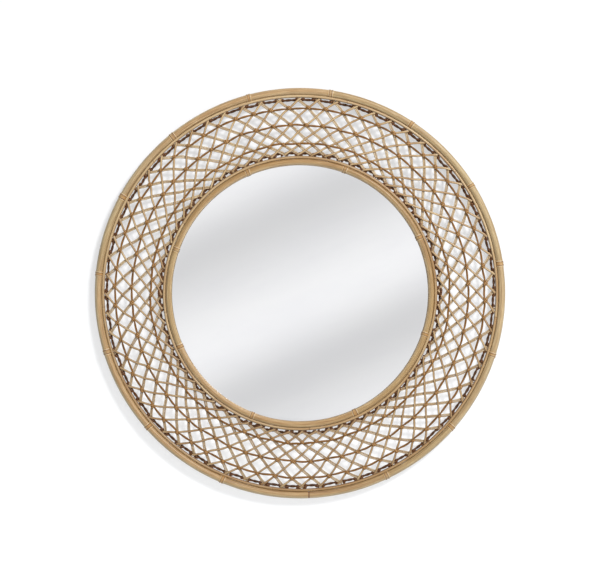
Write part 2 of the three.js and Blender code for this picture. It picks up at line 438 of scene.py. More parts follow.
@dataclass(frozen=True)
class Hand:
    """How far hand work strays from the even pattern."""

    slow_scale: float = 7.0
    slow_turn: float = 0.022
    quick_scale: float = 19.0
    quick_turn: float = 0.021
    radial: float = 0.0088
    depth: float = 0.0018


PLAN = Plan()
HAND = Hand()


def polar(radius: float, angle: float, depth: float) -> Vector:
    """A point at an angle clockwise from the top, seen from the front."""
    return Vector((radius * math.sin(angle), -depth, radius * math.cos(angle)))


def paint(red: int, green: int, blue: int) -> Colour:
    """A screen colour as the renderer's linear light."""
    linear = [((c / 255 + 0.055) / 1.055) ** 2.4 if c > 10 else c / 255 / 12.92 for c in (red, green, blue)]
    return (*linear, 1.0)


# Finishes


class FinishSheet(NodeSheet):
    """The node tree of one material."""

    def __init__(self, name: str) -> None:
        """Starts an empty material.

        Args:
            name: the material's name.
        """
        self.material = bpy.data.materials.new(name)
        self.material.use_nodes = True
        self.material.node_tree.nodes.clear()
        super().__init__(self.material.node_tree)

    def named(self, name: str, vector: bool = False) -> Wire:
        """A value that the mesh carries."""
        return self.wire("ShaderNodeAttribute", {"attribute_name": name}, out=1 if vector else 2)

    def place(self) -> Wire:
        """The point's place on the piece."""
        return self.wire("ShaderNodeTexCoord", out="Object")

    def from_centre(self) -> Wire:
        """How far the point is from the middle of the mirror, seen from the front."""
        x, _, z = self.place().parts()
        return self.vector_math("LENGTH", self.vector(x, 0.0, z), out=1)

    def heading(self) -> tuple[Wire, Wire]:
        """The way from the mirror's centre to the point.

        Returns:
            Its run along x and z, as shares of one.
        """
        x, _, z = self.place().parts()
        reach = self.from_centre()
        return x / reach, z / reach

    def toward_lamp(self, facing: Facing) -> Wire:
        """How squarely the side of a ring that is turned from the weave faces the key light.

        Args:
            facing: which side that is.

        Returns:
            A number from -1, away from it, to 1.
        """
        aside, up = self.heading()
        return (aside * LAMP_ASIDE + up * LAMP_UP) * facing.value

    def grain(
        self, around: float, along: float, shift: Wire, detail: float, roughness: float = 0.5
    ) -> Wire:
        """Noise that is drawn out along a pole or a bead.

        Args:
            around: how fine it is round the cane.
            along: how fine it is along the cane, to the metre.
            shift: moves it along, so that each length of cane has its own.
            detail: how many finer layers it has.
            roughness: how strong they are.

        Returns:
            The noise, from 0 to 1.
        """
        front, across, _ = self.named("side", vector=True).parts()
        run = self.named("since_ring")
        place = self.vector(front * around, across * around, run * along + shift)
        return self.noise(place, 1.0, detail, roughness)

    def relief(self, height: Wire, distance: float, strength: float) -> Wire:
        """A surface normal that follows a height."""
        sockets = {"Height": height, "Distance": distance, "Strength": strength}
        return self.wire("ShaderNodeBump", sockets=sockets)

    def shade(self, **sockets: Any) -> bpy.types.Material:
        """Ends the material in one shader.

        Args:
            **sockets: the shader's inputs, named with underscores for spaces.

        Returns:
            The material.
        """
        named = {key.replace("_", " "): value for key, value in sockets.items()}
        shader = self.node("ShaderNodeBsdfPrincipled", sockets=named)
        self.node("ShaderNodeOutputMaterial", sockets={"Surface": shader})
        return self.material


@dataclass(frozen=True)
class PoleFinish:
    """Peeled and lacquered rattan with growth rings, with painted light and shade: a pale painted sheen on
    the side that stands free, painted shade on the side that faces the weave.
    """

    name: str
    pale: Colour
    tan: Colour
    # a pale painted sheen for the side that stands free
    free: Colour
    warm: Colour
    olive: Colour = paint(156, 142, 98)
    # dark grain streaks, also used for painted shade on the weave side and beside the bead
    streak_and_shade: Colour = paint(104, 70, 36)
    ring: Colour = paint(92, 48, 18)
    scar: Colour = paint(154, 114, 60)
    # the pale lip past each growth ring, also used as painted bounce light on the weave side
    lip: Colour = paint(208, 191, 154)
    facing: Facing = Facing.OUTWARD

    def make(self) -> bpy.types.Material:
        """Builds the material.

        Returns:
            The material.
        """
        sheet = FinishSheet(self.name)
        length = sheet.named("length_no")
        shift = length * 3.7
        fine = sheet.grain(9.0, 22.0, shift, 4.0, 0.62)
        hair = sheet.grain(26.0, 60.0, shift, 2.0)
        lamp = sheet.toward_lamp(self.facing)
        lit = sheet.step(lamp, 0.1, 0.8)
        away = sheet.step(lamp, -0.1, -0.8)
        # the side that faces the weave, where painted shade falls
        shaded = sheet.step(sheet.named("free"), 0.4, -0.8)
        colour = self._ground(sheet, length, shift)
        colour = self._sides(sheet, colour, lit, away)
        band = sheet.step(sheet.grain(3.4, 3.0, shift, 3.0, 0.6), 0.46, 0.68)
        # grain streaks, darkened on the weave side as painted shade, less where the free side faces the
        # lamp
        colour = sheet.blend(band * (0.38 + shaded * (0.36 - lit * 0.3)), colour, self.streak_and_shade)
        colour = sheet.blend(sheet.step(fine, 0.46, 0.72) * 0.68, colour, self.streak_and_shade)
        colour = sheet.blend(sheet.step(fine, 0.46, 0.3) * 0.5, colour, self.lip)
        colour = sheet.blend(sheet.step(hair, 0.5, 0.8) * 0.45, colour, self.streak_and_shade)
        # painted shade along the side that touches the bead, fading where the free side faces the lamp
        contact_shade = sheet.step(sheet.named("free"), -0.6, -0.97)
        colour = sheet.blend(contact_shade * (0.22 - lit * 0.2), colour, self.streak_and_shade)
        colour, scar = self._rings(sheet, colour, fine, shaded)
        return sheet.shade(
            Base_Color=colour,
            Roughness=0.44 + fine * 0.2 + scar * 0.12,
            Normal=sheet.relief(fine * 0.6 + hair * 0.4, 0.0005, 0.4),
            Coat_Weight=0.08,
            Coat_Roughness=0.36,
        )

    def _ground(self, sheet: FinishSheet, length: Wire, shift: Wire) -> Wire:
        """The colour of the peeled cane, warmer at the top and a little at the bottom.

        Args:
            sheet: the material's sheet.
            length: the number of the length of cane between two growth rings.
            shift: what moves its grain.

        Returns:
            The colour.
        """
        _, up = sheet.heading()
        warmth = sheet.step(up, 0.45, 0.88) + sheet.step(up, -0.1, -0.8) * 0.45
        broad = sheet.step(sheet.grain(1.2, 5.0, shift, 3.0), 0.3, 0.7)
        colour = sheet.blend(broad, self.pale, self.tan)
        colour = sheet.blend(warmth * 0.55 + sheet.chance(length) * 0.3, colour, self.warm)
        green = sheet.step(sheet.chance(length + 0.5), 0.55, 1.0)
        return sheet.blend(green * 0.4, colour, self.olive)

    def _sides(self, sheet: FinishSheet, colour: Wire, lit: Wire, away: Wire) -> Wire:
        """Paints light and shade by side: a pale painted sheen on the side that stands free, weaker where
        that side faces the lamp; painted bounce light on the side that faces the weave, stronger where the
        free side faces the lamp; painted shade on the weave side where it faces the lamp.

        Args:
            sheet: the material's sheet.
            colour: what is changed.
            lit: where the free side faces the lamp.
            away: where it faces away.

        Returns:
            The changed colour.
        """
        free = sheet.named("free")
        # painted sheen, bounce light and shade, set by side and by where the key light stands
        colour = sheet.blend(sheet.step(free, 0.05, 0.97) * (0.85 - lit * 0.6), colour, self.free)
        colour = sheet.blend(sheet.step(free, 0.2, -0.8) * (0.1 + lit * 0.22), colour, self.lip)
        return sheet.blend(sheet.step(free, 0.5, -0.3) * away * 0.5, colour, self.warm)

    def _rings(self, sheet: FinishSheet, colour: Wire, fine: Wire, shaded: Wire) -> tuple[Wire, Wire]:
        """Draws each growth ring: a stained scar between two dark lines, with a pale lip past it.

        Args:
            sheet: the material's sheet.
            colour: what is changed.
            fine: the fine grain, which makes the lines ragged.
            shaded: the side that faces the weave, where painted shade falls.

        Returns:
            The changed colour, and where the scar is.
        """
        gap = sheet.named("ring_gap")
        swell = sheet.named("swell")
        ring_no = sheet.named("ring_no")
        which = sheet.chance(ring_no + 0.2)
        stain = sheet.step(sheet.chance(ring_no + 5.4), 0.2, 0.8)
        ragged = gap + (fine - 0.5) * 0.0008
        reach = 0.0029 + which * 0.0018
        past = ragged - reach
        scar = sheet.step(past, 0.0005, -0.0003) * swell
        lip = sheet.step(past, 0.0030, 0.0018) * sheet.step(past, 0.0003, 0.0010) * swell
        rim = sheet.step(sheet.math("ABSOLUTE", past - 0.0038), 0.0012, 0.0003) * swell
        line = sheet.step(sheet.math("ABSOLUTE", ragged - reach * swell), 0.0013, 0.0005)
        joint = sheet.step(gap, 0.0021, 0.0012) * (1.0 - swell)
        colour = sheet.blend(lip * (0.35 + which * 0.35), colour, self.lip)
        # rim, scar and line darken further on the side that faces the weave: painted shade over their own
        # colour
        colour = sheet.blend(rim * (0.4 + shaded * 0.35), colour, self.scar)
        colour = sheet.blend(scar * (stain * 0.46 + shaded * 0.26 + 0.08), colour, self.scar)
        colour = sheet.blend(line * (0.6 + which * 0.38 + shaded * 0.1), colour, self.ring)
        return sheet.blend(joint * 0.85, colour, self.ring), scar


@dataclass(frozen=True)
class BeadFinish:
    """Thin round cane with a split along its front, drier and plainer than the poles."""

    name: str = "round cane"
    pale: Colour = paint(186, 164, 126)
    brown: Colour = paint(152, 118, 76)
    warm: Colour = paint(138, 100, 50)
    streak_and_shade: Colour = paint(84, 54, 28)
    ring: Colour = paint(80, 48, 26)
    facing: Facing = Facing.OUTWARD

    def make(self) -> bpy.types.Material:
        """Builds the material.

        Returns:
            The material.
        """
        sheet = FinishSheet(self.name)
        _, across, _ = sheet.named("side", vector=True).parts()
        run = sheet.named("since_ring")
        gap = sheet.named("ring_gap")
        free = sheet.named("free")
        length = sheet.named("length_no")
        shift = length * 2.9
        broad = sheet.grain(1.0, 9.0, shift, 3.0)
        fine = sheet.grain(5.0, 30.0, shift, 4.0, 0.6)
        seam = across + (sheet.noise(sheet.vector(run * 4.0, shift, 0.0), 1.0) - 0.5) * 0.5
        colour = sheet.blend(sheet.step(broad, 0.34, 0.68), self.pale, self.brown)
        split = sheet.step(sheet.math("ABSOLUTE", seam), 0.16, 0.04)
        colour = sheet.blend(split * 0.4, colour, self.streak_and_shade)
        colour = sheet.blend(sheet.chance(length) * 0.35, colour, self.brown)
        # painted shade where the side turned from the weave faces away from the key light
        away = sheet.step(sheet.toward_lamp(self.facing), -0.1, -0.8)
        colour = sheet.blend(away * 0.35, colour, self.warm)
        # painted shade towards the bottom and painted light towards the upper left
        x, _, z = sheet.place().parts()
        low = sheet.step(z * 0.9 - x * 0.4, -0.1, -0.5)
        high = sheet.step(z * 0.7 - x * 0.7, 0.1, 0.5)
        colour = sheet.blend(low * 0.4, colour, self.warm)
        colour = sheet.blend(high * 0.5, colour, self.pale)
        colour = sheet.blend(sheet.step(fine, 0.5, 0.78) * 0.55, colour, self.streak_and_shade)
        # painted shade on the side that lies against the pole
        colour = sheet.blend(sheet.step(free, 0.7, 1.0) * 0.35, colour, self.streak_and_shade)
        # painted shade on the side toward the lattice, weaker towards the upper left
        turned = sheet.step(free, -0.1, -0.9)
        colour = sheet.blend(turned * (0.75 - high * 0.3), colour, self.streak_and_shade)
        colour = sheet.blend(sheet.step(gap, 0.0012, 0.0004) * 0.7, colour, self.ring)
        return sheet.shade(
            Base_Color=colour,
            Roughness=0.4 + fine * 0.2,
            Normal=sheet.relief(fine, 0.0003, 0.4),
            Coat_Weight=0.15,
            Coat_Roughness=0.3,
        )


@dataclass(frozen=True)
class CaneFinish:
    """Split cane of the lattice: a glossy bark on the front, with fibre along its length."""

    name: str
    pale: Colour
    tan: Colour
    mark_and_shade: Colour = paint(92, 62, 36)

    def make(self) -> bpy.types.Material:
        """Builds the material.

        Returns:
            The material.
        """
        sheet = FinishSheet(self.name)
        across = sheet.named("across")
        along = sheet.named("along")
        cane = sheet.named("cane")
        shift = cane * 61.0
        patch = sheet.noise(sheet.vector(shift, 0.0, along * 26.0), 1.0, 2.0)
        fibre = sheet.noise(sheet.vector(across * 5.0 + shift, 0.0, along * 70.0), 1.0, 3.0, 0.6)
        colour = sheet.blend(sheet.step(patch, 0.32, 0.7), self.pale, self.tan)
        colour = sheet.blend(sheet.step(cane, 0.4, 1.0) * 0.6, colour, self.tan)
        colour = sheet.blend(sheet.step(fibre, 0.5, 0.8) * 0.5, colour, self.mark_and_shade)
        # darker along both edges: the cut edges, deepened by painted shade of the rounded cane
        edge = sheet.step(sheet.math("ABSOLUTE", across), 0.6, 1.0)
        colour = sheet.blend(edge * 0.75, colour, self.mark_and_shade)
        blot = sheet.step(sheet.noise(sheet.vector(0.0, shift, along * 9.0), 1.0, 3.0), 0.62, 0.74)
        colour = sheet.blend(blot * 0.5, colour, self.mark_and_shade)
        # darker towards the bottom
        _, _, height = sheet.place().parts()
        colour = sheet.blend(sheet.step(height, 0.25, -0.35) * 0.2, colour, self.mark_and_shade)
        return sheet.shade(
            Base_Color=colour,
            Roughness=0.38 + fibre * 0.25,
            Normal=sheet.relief(fibre, 0.0002, 0.35),
            Coat_Weight=0.1,
            Coat_Roughness=0.3,
        )


@dataclass(frozen=True)
class TwineFinish:
    """Dark skin cane, twisted in pairs."""

    name: str
    dark: Colour
    light: Colour

    def make(self) -> bpy.types.Material:
        """Builds the material.

        Returns:
            The material.
        """
        sheet = FinishSheet(self.name)
        across = sheet.named("across")
        along = sheet.named("along")
        cane = sheet.named("cane")
        patch = sheet.noise(sheet.vector(cane * 40.0, 0.0, along * 18.0), 1.0, 3.0)
        fibre = sheet.noise(sheet.vector(across * 3.0 + cane * 9.0, 0.0, along * 120.0), 1.0, 3.0, 0.6)
        colour = sheet.blend(sheet.step(patch * 0.6 + fibre * 0.4, 0.36, 0.66), self.dark, self.light)
        # a painted highlight on the front of each strand
        painted_highlight = sheet.step(across, 0.25, 0.95)
        colour = sheet.blend(painted_highlight * 0.35, colour, self.light)
        return sheet.shade(
            Base_Color=colour,
            Roughness=0.45 + fibre * 0.2,
            Specular_IOR_Level=0.2,
            Normal=sheet.relief(fibre, 0.0002, 0.4),
        )


@dataclass(frozen=True)
class KnotFinish:
    """Cane wrapped round a crossing, with painted shade in the grooves between the wraps and a painted
    highlight on the crests.
    """

    name: str
    groove: Colour
    crest: Colour
    painted_highlight: Colour

    def make(self) -> bpy.types.Material:
        """Builds the material.

        Returns:
            The material.
        """
        sheet = FinishSheet(self.name)
        ridge = sheet.named("ridge")
        knot = sheet.named("knot")
        place = sheet.place()
        grain = sheet.noise(place, 700.0, 3.0, 0.6)
        # crest colour on the wraps, darkened in the grooves between them as painted shade
        colour = sheet.blend(sheet.step(ridge + grain * 0.3, 0.3, 0.95), self.groove, self.crest)
        # a painted highlight along the crests of some knots
        colour = sheet.blend(sheet.step(ridge, 0.75, 1.0) * knot * 0.6, colour, self.painted_highlight)
        colour = sheet.blend(sheet.step(grain, 0.5, 0.8) * 0.3, colour, self.groove)
        return sheet.shade(
            Base_Color=colour,
            Roughness=0.42 + grain * 0.2,
            Specular_IOR_Level=0.25,
            Normal=sheet.relief(grain, 0.0002, 0.4),
        )


@dataclass(frozen=True)
class GlassFinish:
    """Silvered glass with the faint haze of a wiped surface."""

    name: str = "silvered glass"
    silver: Colour = paint(229, 229, 230)
    haze: Colour = paint(226, 226, 228)

    def make(self) -> bpy.types.Material:
        """Builds the material.

        Returns:
            The material.
        """
        sheet = FinishSheet(self.name)
        x, _, z = sheet.place().parts()
        wiped = sheet.noise(sheet.vector(x * 2.0 + z * 3.0, 0.0, z * 9.0 - x * 4.0), 1.0, 4.0, 0.55)
        rim = sheet.step(sheet.from_centre(), 0.300, 0.316)
        colour = sheet.blend(sheet.step(wiped, 0.35, 0.7), self.silver, self.haze)
        return sheet.shade(
            Base_Color=colour, Roughness=0.025 + wiped * 0.035 + rim * 0.03, Metallic=1.0, IOR=1.5
        )


@dataclass(frozen=True)
class BoardFinish:
    """Sanded plywood: broad grain on its faces, thin plies at its edge."""

    name: str = "sanded plywood"
    pale: Colour = paint(200, 172, 132)
    brown: Colour = paint(180, 147, 104)
    glue: Colour = paint(96, 66, 42)

    def make(self) -> bpy.types.Material:
        """Builds the material.

        Returns:
            The material.
        """
        sheet = FinishSheet(self.name)
        x, y, z = sheet.place().parts()
        sway = sheet.noise(sheet.vector(x * 2.0, 0.0, z * 0.8), 1.0, 2.0) * 0.5
        rings = sheet.noise(sheet.vector(x * 42.0 + sway * 9.0, y * 20.0, z * 2.0), 1.0, 4.0, 0.6)
        pores = sheet.noise(sheet.vector(x * 900.0, y * 900.0, z * 45.0), 1.0, 2.0)
        ply = sheet.math("FRACT", y / -0.0024)
        layer = sheet.step(sheet.math("ABSOLUTE", ply - 0.5), 0.42, 0.47)
        rim = sheet.step(sheet.from_centre(), 0.3254, 0.3258)
        colour = sheet.blend(sheet.step(rings, 0.32, 0.7), self.pale, self.brown)
        colour = sheet.blend(sheet.step(pores, 0.6, 0.8) * 0.45, colour, self.glue)
        colour = sheet.blend(layer * rim * 0.7, colour, self.glue)
        return sheet.shade(
            Base_Color=colour, Roughness=0.6 + rings * 0.2, Normal=sheet.relief(pores, 0.0002, 0.3)
        )


@dataclass(frozen=True)
class SteelFinish:
    """Zinc plated steel with fine brushing and dull spots."""

    name: str = "zinc plated steel"
    bright: Colour = paint(205, 207, 209)
    dull: Colour = paint(160, 163, 165)

    def make(self) -> bpy.types.Material:
        """Builds the material.

        Returns:
            The material.
        """
        sheet = FinishSheet(self.name)
        x, y, z = sheet.place().parts()
        brushed = sheet.noise(sheet.vector(x * 60.0, y * 900.0, z * 1500.0), 1.0, 3.0)
        spots = sheet.noise(sheet.vector(x * 160.0, y * 160.0, z * 160.0), 1.0, 4.0)
        colour = sheet.blend(sheet.step(spots, 0.4, 0.7), self.bright, self.dull)
        return sheet.shade(
            Base_Color=colour,
            Metallic=1.0,
            Roughness=0.28 + spots * 0.25,
            Normal=sheet.relief(brushed, 0.0001, 0.3),
        )


# The bent poles and the thin canes beside them


@dataclass
class Pole:
    """One closed ring of rattan with its growth rings."""

    name: str
    ring: float
    diameter: float
    rings_at: tuple[float, ...]
    ring_rise: float
    ring_half: float
    sides: int
    finish: bpy.types.Material
    node: str
    slot: str
    facing: Facing = Facing.OUTWARD
    joint_at: float | None = None
    plain_step: float = 0.006
    ring_step: float = 0.0006
    stray: float = 0.0003

    def path(self) -> bpy.types.Mesh:
        """Builds the closed path, close-set near each growth ring.

        Returns:
            A mesh of edges that carries the distance to the growth rings.
        """
        joint = [] if self.joint_at is None else [self.joint_at]
        rings = sorted(math.radians(a) for a in (*self.rings_at, *joint))
        swells = [0.0 if math.degrees(a) in joint else 1.0 for a in rings]
        points: list[Vector] = []
        swell: list[float] = []
        since: list[float] = []
        until: list[float] = []
        number: list[float] = []
        nearest: list[float] = []
        for index, start in enumerate(rings):
            end = rings[(index + 1) % len(rings)]
            span = (end - start) % FULL_TURN * self.ring
            for run in self._stations(span):
                points.append(polar(self.ring, start + run / self.ring, PLAN.pole_depth))
                since.append(run)
                until.append(span - run)
                number.append(float(index))
                nearest.append(float(index if run < span / 2 else (index + 1) % len(rings)))
                swell.append(swells[int(nearest[-1])])
        mesh = bpy.data.meshes.new(self.name + "_path")
        edges = [(i, (i + 1) % len(points)) for i in range(len(points))]
        mesh.from_pydata(points, edges, [])
        carried = {
            "since_ring": since,
            "to_ring": until,
            "length_no": number,
            "ring_no": nearest,
            "swell": swell,
        }
        for label, values in carried.items():
            mesh.attributes.new(label, "FLOAT", "POINT").data.foreach_set("value", values)
        return mesh

    def _stations(self, span: float) -> list[float]:
        """Distances along one length of cane, from ring to ring.

        Args:
            span: the length from ring to ring.

        Returns:
            The distances, none of them on a ring itself.
        """
        near = [self.ring_step * (0.35 + i) for i in range(int(self.ring_half * 1.7 / self.ring_step))]
        clear = span - 2 * near[-1]
        gaps = max(2, round(clear / self.plain_step))
        middle = [near[-1] + clear * (i + 1) / gaps for i in range(gaps - 1)]
        return near + middle + [span - d for d in reversed(near)]

    def build(self) -> bpy.types.Object:
        """Grows the pole along its path, swollen at each growth ring.

        Returns:
            The dressed pole.
        """
        tree = GrowthTree(self.name)
        radius = tree.ask("Radius", self.diameter / 2)
        rise = tree.ask("Ring Rise", self.ring_rise)
        half = tree.ask("Ring Half Length", self.ring_half)
        stray = tree.ask("Stray", self.stray)
        curve = tree.facing_out(tree.wire("GeometryNodeMeshToCurve", sockets={"Mesh": tree.seed}))
        profile = tree.circle(self.sides)
        profile = tree.keep(profile, "side", tree.position(), "FLOAT_VECTOR")
        tube = tree.skin(curve, profile, radius)
        front, across, _ = tree.read("side", "FLOAT_VECTOR").parts()
        swell = tree.read("swell")
        lean = (tree.chance(tree.read("length_no") + 0.5) - 0.5) * 0.0012 * front + across * 0.0003
        since = tree.math("ABSOLUTE", tree.read("since_ring") + lean)
        until = tree.math("ABSOLUTE", tree.read("to_ring") - lean)
        gap = tree.math("MINIMUM", since, until)
        lift = tree.wire(
            "ShaderNodeFloatCurve",
            {"points": [(0.0, 0.62), (0.08, 0.6), (0.18, 0.45), (0.34, 1.0), (0.6, 0.55), (1.0, 0.0)]},
            {"Value": gap / half},
        )
        bumps = tree.noise(tree.position(), 38.0) - 0.5
        tube = tree.keep(tube, "ring_gap", gap)
        tube = tree.keep(tube, "free", across * tree.ask("Free Side", -self.facing.value))
        seam = tree.step(gap, 0.0009, 0.0002) * (1.0 - swell) * 0.0006
        normal = tree.wire("GeometryNodeInputNormal")
        face = 1.0 - tree.math("MAXIMUM", front, 0.0) * 0.4
        rises = lift * rise * swell * face + bumps * stray * 2.0 - seam
        tube = tree.move(tube, offset=tree.scaled(normal, rises))
        piece = tree.grow(self.name, tube, self.finish, self.path())
        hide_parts(self.node)
        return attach(piece, "root")


# The lattice


@dataclass(frozen=True)
class KnotRow:
    """The wrapped knots over one row of crossings, all slanted the same way."""

    row: int
    ring_radius: float
    size: float
    slant: float


@dataclass(frozen=True)
class Lashing:
    """The dark lashings along one bead, one before and one after each crossing.

    Each stands aside from its crossing, and outward of it, or inward where that is below nought.
    """

    side: str
    row: int
    aside: float
    outward: float
    length: float
    width: float


@dataclass
class Lattice:
    """Split cane run in two slants, with twisted rings bound over its crossings."""

    back_finish: bpy.types.Material
    front_finish: bpy.types.Material
    ring_finish: bpy.types.Material
    edge_finish: bpy.types.Material
    knot_finish: bpy.types.Material
    lash_finish: bpy.types.Material
    pair_width: float = 0.0034
    pair_spread: float = 0.0034
    front_width: float = 0.0050
    thickness: float = 0.0019
    stations: int = 42
    first_row: float = -0.22
    last_row: float = 8.18
    ring_stations: int = 24
    bound_strand: float = 0.0032
    edge_strand: float = 0.0046
    knots: tuple[KnotRow, ...] = (
        KnotRow(1, 0.4515, 0.0106, 40.0),
        KnotRow(3, 0.4108, 0.0106, 44.0),
        KnotRow(6, 0.3622, 0.0100, 50.0),
    )
    lashings: tuple[Lashing, ...] = (
        Lashing("outer", 0, 0.0080, 0.0026, 0.0110, 0.0084),
        Lashing("inner", 8, 0.0060, -0.0002, 0.0086, 0.0122),
    )
    knot_depth: float = 0.0106
    knot_stray: float = 0.5
    lashing_depth: float = 0.0070
    lashing_slant: float = math.radians(24.0)
    lashing_stray: float = 1.2
    loop_size: tuple[float, float, float] = (0.0190, 0.0078, 0.0080)
    loop_angle: float = math.radians(89.9)
    loop_radius: float = 0.3440

    def canes(
        self,
        name: str,
        finish: bpy.types.Material,
        way: Way,
        depth: float,
        width: float,
        per_place: int,
    ) -> bpy.types.Object:
        """Grows all the canes that run one way.

        Args:
            name: the piece's name.
            finish: the cane's material.
            way: which way round the canes go on their way in.
            depth: how far its middle stands out from the wall.
            width: of one cane.
            per_place: how many lie side by side.

        Returns:
            The finished piece.
        """
        tree = GrowthTree(name)
        count = tree.ask("Places", PLAN.steps, InputKind.COUNT)
        beside = tree.ask("Canes per Place", per_place, InputKind.COUNT)
        start = tree.ask("First Angle", PLAN.row_angle(0))
        sweep = tree.ask("Sweep per Row", PLAN.half_step * way.value)
        out = tree.ask("Depth", depth)
        wide = tree.ask("Width", width)
        thick = tree.ask("Thickness", self.thickness)
        spread = tree.ask("Spread", self.pair_spread)
        ends = {"Start": (0, 0, 0), "End": (0, 0, 1)}
        line = tree.wire("GeometryNodeCurvePrimitiveLine", {"mode": "POINTS"}, ends)
        resample = {"Curve": line, "Count": self.stations}
        line = tree.wire("GeometryNodeResampleCurve", {"mode": "COUNT"}, resample)
        copies, number = tree.copies(line, count * beside)
        place = tree.math("FLOOR", (number + 0.01) / beside)
        side = number - place * beside
        share = tree.wire("GeometryNodeSplineParameter")
        first_row = tree.ask("First Row", self.first_row)
        row = first_row + share * tree.ask("Rows", self.last_row - self.first_row)
        radius = self._radius_at(tree, row)
        angle = start + place * (FULL_TURN / PLAN.steps) + row * sweep
        past_outer = tree.step(row, 0.0, self.first_row)
        past_inner = tree.step(row, len(PLAN.rows) - 1.0, self.last_row)
        tuck = tree.math("MAXIMUM", past_outer, past_inner) * 0.0012
        wave = tree.noise(tree.vector(row * 0.9, number * 3.1, 0.0), 1.0) - 0.5
        spot = tree.place_by_hand(angle, radius, out - tuck + wave * 0.0008)
        laid = tree.move(copies, position=spot)
        tangent = tree.wire("GeometryNodeInputTangent")
        sideways = tree.vector_math("CROSS_PRODUCT", tangent, (0.0, -1.0, 0.0))
        split = tree.noise(tree.vector(row * 0.45, place * 5.7, 4.0), 1.0)
        apart = (side - (beside - 1.0) * 0.5) * spread * (0.72 + split * 0.62)
        bend = (tree.noise(tree.vector(row * 0.8, number * 7.3, 9.0), 1.0) - 0.5) * 0.0016
        laid = tree.move(laid, offset=tree.scaled(sideways, apart + bend))
        laid = tree.keep(laid, "cane", tree.chance(number + 0.25))
        laid = tree.keep(laid, "along", share * 0.21)
        laid = tree.facing_out(laid)
        profile = tree.circle(8)
        toward, across, _ = tree.position().parts()
        flat = tree.math("MAXIMUM", toward, toward * 0.45)
        profile = tree.keep(profile, "across", across)
        profile = tree.move(profile, position=tree.vector(flat * thick * 0.62, across * wide * 0.5, 0.0))
        swell = 0.9 + tree.noise(tree.vector(row * 0.7, number * 2.3, 2.0), 1.0) * 0.26
        shape = tree.skin(laid, profile, swell)
        return tree.grow(name, shape, finish)

    def _radius_at(self, tree: GrowthTree, row: Wire) -> Wire:
        """How far out a cane is at a row, from the spacing of the crossings.

        Args:
            tree: the tree to write in.
            row: the row, with fractions between crossings.

        Returns:
            The radius in metres.
        """
        radii = [PLAN.outer_tail, *PLAN.rows, PLAN.inner_tail]
        places = [self.first_row, *range(len(PLAN.rows)), self.last_row]
        run = self.last_row - self.first_row
        drop = radii[0] - radii[-1]
        points = [((p - self.first_row) / run, (radii[0] - r) / drop) for p, r in zip(places, radii)]
        value = {"Value": (row - self.first_row) / run}
        share = tree.wire("ShaderNodeFloatCurve", {"points": points}, value)
        return radii[0] - share * drop

    def ring(self, number: int, row: int, bound: bool) -> bpy.types.Object:
        """Grows the two strands that are twisted together along one row of crossings.

        Args:
            number: which ring it is, from the outside.
            row: the row of crossings that they run along.
            bound: whether they bind the crossings from the front or run beside a bead, behind them.

        Returns:
            The finished piece.
        """
        name = f"twisted_ring_{number + 1}"
        tree = GrowthTree(name)
        start = tree.ask("First Angle", PLAN.row_angle(row))
        radius = tree.ask("Ring Radius", PLAN.ring_radii[number])
        out = tree.ask("Depth", PLAN.front_depth + 0.0008 if bound else PLAN.edge_ring_depth)
        thick = tree.ask("Strand", self.bound_strand if bound else self.edge_strand)
        twists = tree.ask("Twists per Step", 0.5 if bound else 1.5)
        count = PLAN.steps * self.ring_stations
        circle, strand_no = tree.copies(tree.circle(count), 2)
        index = tree.wire("GeometryNodeSplineParameter", out="Index")
        step = index * (PLAN.steps / count)
        near = tree.math("MAXIMUM", tree.math("COSINE", step * FULL_TURN), 0.0) ** 6.0
        phase = step * twists * FULL_TURN + strand_no * math.pi
        bind = tree.ask("Bound Round", float(bound))
        reach = thick * 0.42 + near * bind * 0.0004
        lie = out + reach * tree.math("COSINE", phase) + near * bind * 0.0006
        spread = radius + thick * (0.24 + bind * 0.12) * tree.math("SINE", phase)
        angle = start + index * (FULL_TURN / count)
        laid = tree.move(circle, position=tree.place_by_hand(angle, spread, lie))
        laid = tree.keep(laid, "cane", tree.chance(strand_no + row * 2.0))
        laid = tree.keep(laid, "along", index * (FULL_TURN * PLAN.rows[row] / count))
        laid = tree.facing_out(laid)
        profile = tree.circle(6)
        toward, _, _ = tree.position().parts()
        profile = tree.keep(profile, "across", toward)
        shape = tree.skin(laid, profile, thick * 0.5)
        piece = tree.grow(name, shape, self.ring_finish if bound else self.edge_finish)
        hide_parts(f"ring_cane_{number + 1}")
        return piece

